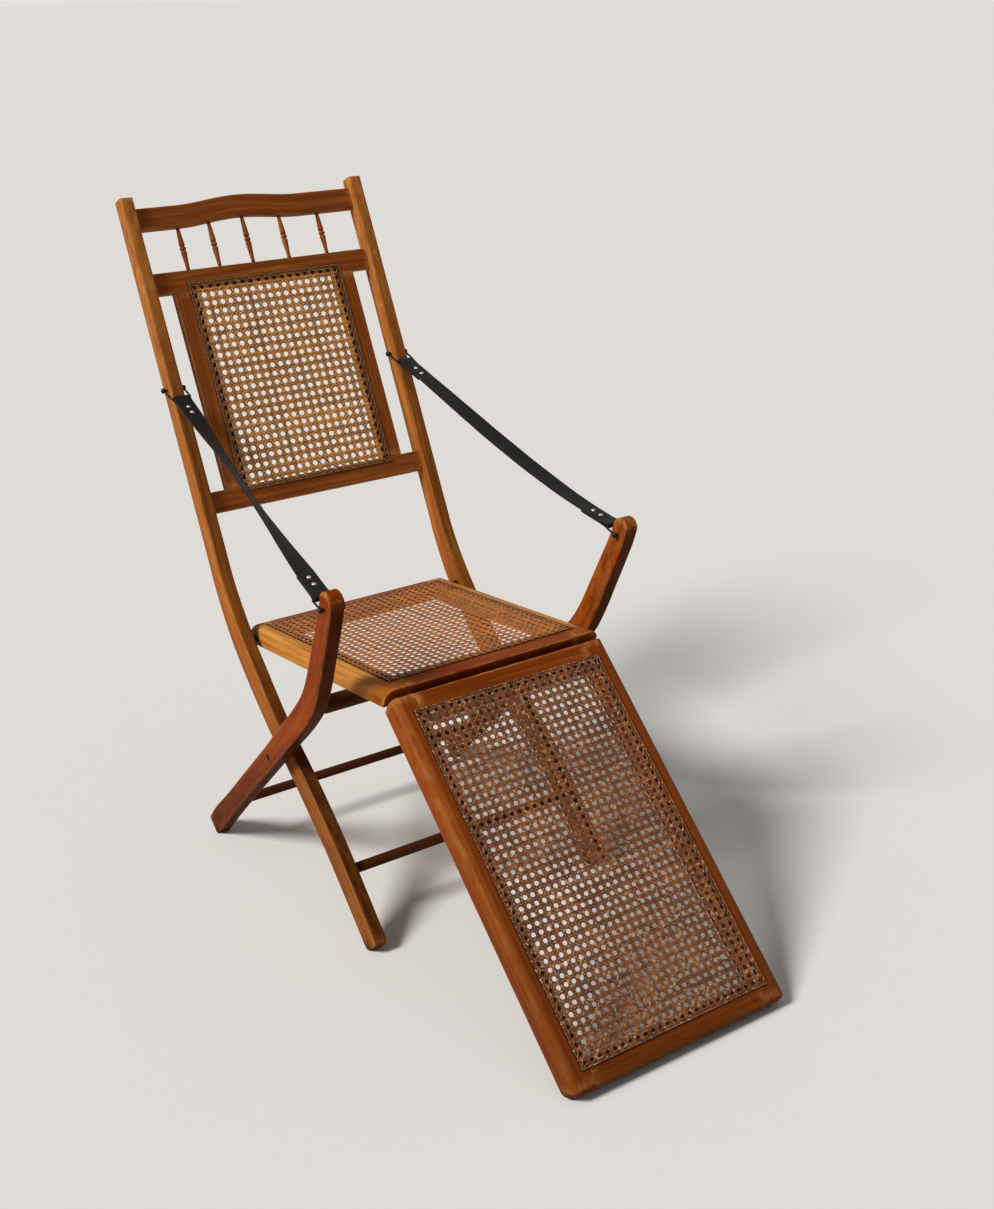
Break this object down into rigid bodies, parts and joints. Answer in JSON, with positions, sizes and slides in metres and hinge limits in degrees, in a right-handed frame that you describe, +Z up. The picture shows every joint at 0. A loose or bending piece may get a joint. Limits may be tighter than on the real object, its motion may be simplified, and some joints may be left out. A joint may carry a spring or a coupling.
{
  "type": "steamer deck chair",
  "caption": "Folding caned deck chair with a curved back frame, leather strap arms, a seat carried on a rung and a hinged leg rest.",
  "frame": {"origin": "middle of the bounding box's base, on the ground", "axes": "+Z up; the sitter faces -Y, with the leg rest at -Y; +X is on the right of someone who looks at the chair's front from -Y with +X to the right"},
  "size_m": [0.547, 1.1707, 1.0282],
  "materials": {
    "wood": "old oiled and varnished beech, reddish brown",
    "dark_wood": "old dark varnished beech",
    "cane": "aged split cane, six-way weave",
    "leather": "black bridle leather, faint sheen",
    "iron": "dark oxidised iron",
    "brass": "dull old brass",
    "steel": "nickelled wire and rivets, worn"
  },
  "bodies": {
    "back_frame": {"back_cane": "cane", "back_panel_stile_left": "wood", "back_panel_stile_right": "wood", "baluster_1": "wood", "baluster_2": "wood", "baluster_3": "wood", "baluster_4": "wood", "baluster_5": "wood", "crest_rail": "wood", "front_stretcher": "dark_wood", "lower_back_rail": "wood", "mid_rail": "wood", "pivot_pin_left": "iron", "pivot_pin_right": "iron", "pivot_washer_left": "iron", "pivot_washer_right": "iron", "seat_pivot_left": "iron", "seat_pivot_right": "iron", "stile_bail_pin_left": "steel", "stile_bail_pin_right": "steel", "stile_left": "wood", "stile_right": "wood"},
    "leg_frame": {"arm_bail_pin_left": "steel", "arm_bail_pin_right": "steel", "arm_leg_left": "wood", "arm_leg_right": "wood", "rear_stretcher": "dark_wood", "seat_rung": "dark_wood"},
    "seat": {"hinge_pin_left": "brass", "hinge_pin_right": "brass", "hinge_seat_leaf_left": "brass", "hinge_seat_leaf_right": "brass", "seat_back_rail": "wood", "seat_cane": "cane", "seat_front_rail": "wood", "seat_side_rail_left": "wood", "seat_side_rail_right": "wood"},
    "leg_rest": {"hinge_rest_leaf_left": "brass", "hinge_rest_leaf_right": "brass", "rest_bottom_rail": "wood", "rest_cane": "cane", "rest_side_rail_left": "wood", "rest_side_rail_right": "wood", "rest_top_rail": "wood"},
    "upper_bail_right": {"rivet_right_1": "steel", "rivet_right_2": "steel", "stile_bail_right": "steel", "strap_right": "leather"},
    "upper_bail_left": {"rivet_left_1": "steel", "rivet_left_2": "steel", "stile_bail_left": "steel", "strap_left": "leather"},
    "lower_bail_right": {"arm_bail_right": "steel", "rivet_right_3": "steel", "rivet_right_4": "steel"},
    "lower_bail_left": {"arm_bail_left": "steel", "rivet_left_3": "steel", "rivet_left_4": "steel"}
  },
  "joints": [
    {"name": "fold", "type": "hinge", "parent": "back_frame", "child": "leg_frame", "pos_m": [0, 0.11213, 0.2355], "axis": [-1, 0, 0], "range_deg": [0, 80], "deforming": ["strap_right", "strap_left"]},
    {"name": "seat_turn", "type": "hinge", "parent": "back_frame", "child": "seat", "pos_m": [0, 0.25405, 0.37301], "axis": [-1, 0, 0], "range_deg": [0, 88]},
    {"name": "leg_rest_turn", "type": "hinge", "parent": "seat", "child": "leg_rest", "pos_m": [0, -0.14247, 0.396], "axis": [1, 0, 0], "range_deg": [-18, 60]},
    {"name": "upper_bail_right_turn", "type": "hinge", "parent": "back_frame", "child": "upper_bail_right", "pos_m": [0.20825, 0.44512, 0.742], "axis": [1, 0, 0], "range_deg": [0, 8]},
    {"name": "upper_bail_left_turn", "type": "hinge", "parent": "back_frame", "child": "upper_bail_left", "pos_m": [-0.20825, 0.44512, 0.742], "axis": [1, 0, 0], "range_deg": [0, 8]},
    {"name": "lower_bail_right_turn", "type": "hinge", "parent": "leg_frame", "child": "lower_bail_right", "pos_m": [0.2525, -0.12687, 0.5625], "axis": [1, 0, 0], "range_deg": [-28, 0]},
    {"name": "lower_bail_left_turn", "type": "hinge", "parent": "leg_frame", "child": "lower_bail_left", "pos_m": [-0.2525, -0.12687, 0.5625], "axis": [1, 0, 0], "range_deg": [-28, 0]}
  ],
  "couplings": [
    {"joint": "seat_turn", "follows": "fold", "ratio": 1.1},
    {"joint": "upper_bail_right_turn", "follows": "fold", "ratio": 0.1},
    {"joint": "upper_bail_left_turn", "follows": "fold", "ratio": 0.1},
    {"joint": "lower_bail_right_turn", "follows": "fold", "ratio": -0.35},
    {"joint": "lower_bail_left_turn", "follows": "fold", "ratio": -0.35}
  ]
}
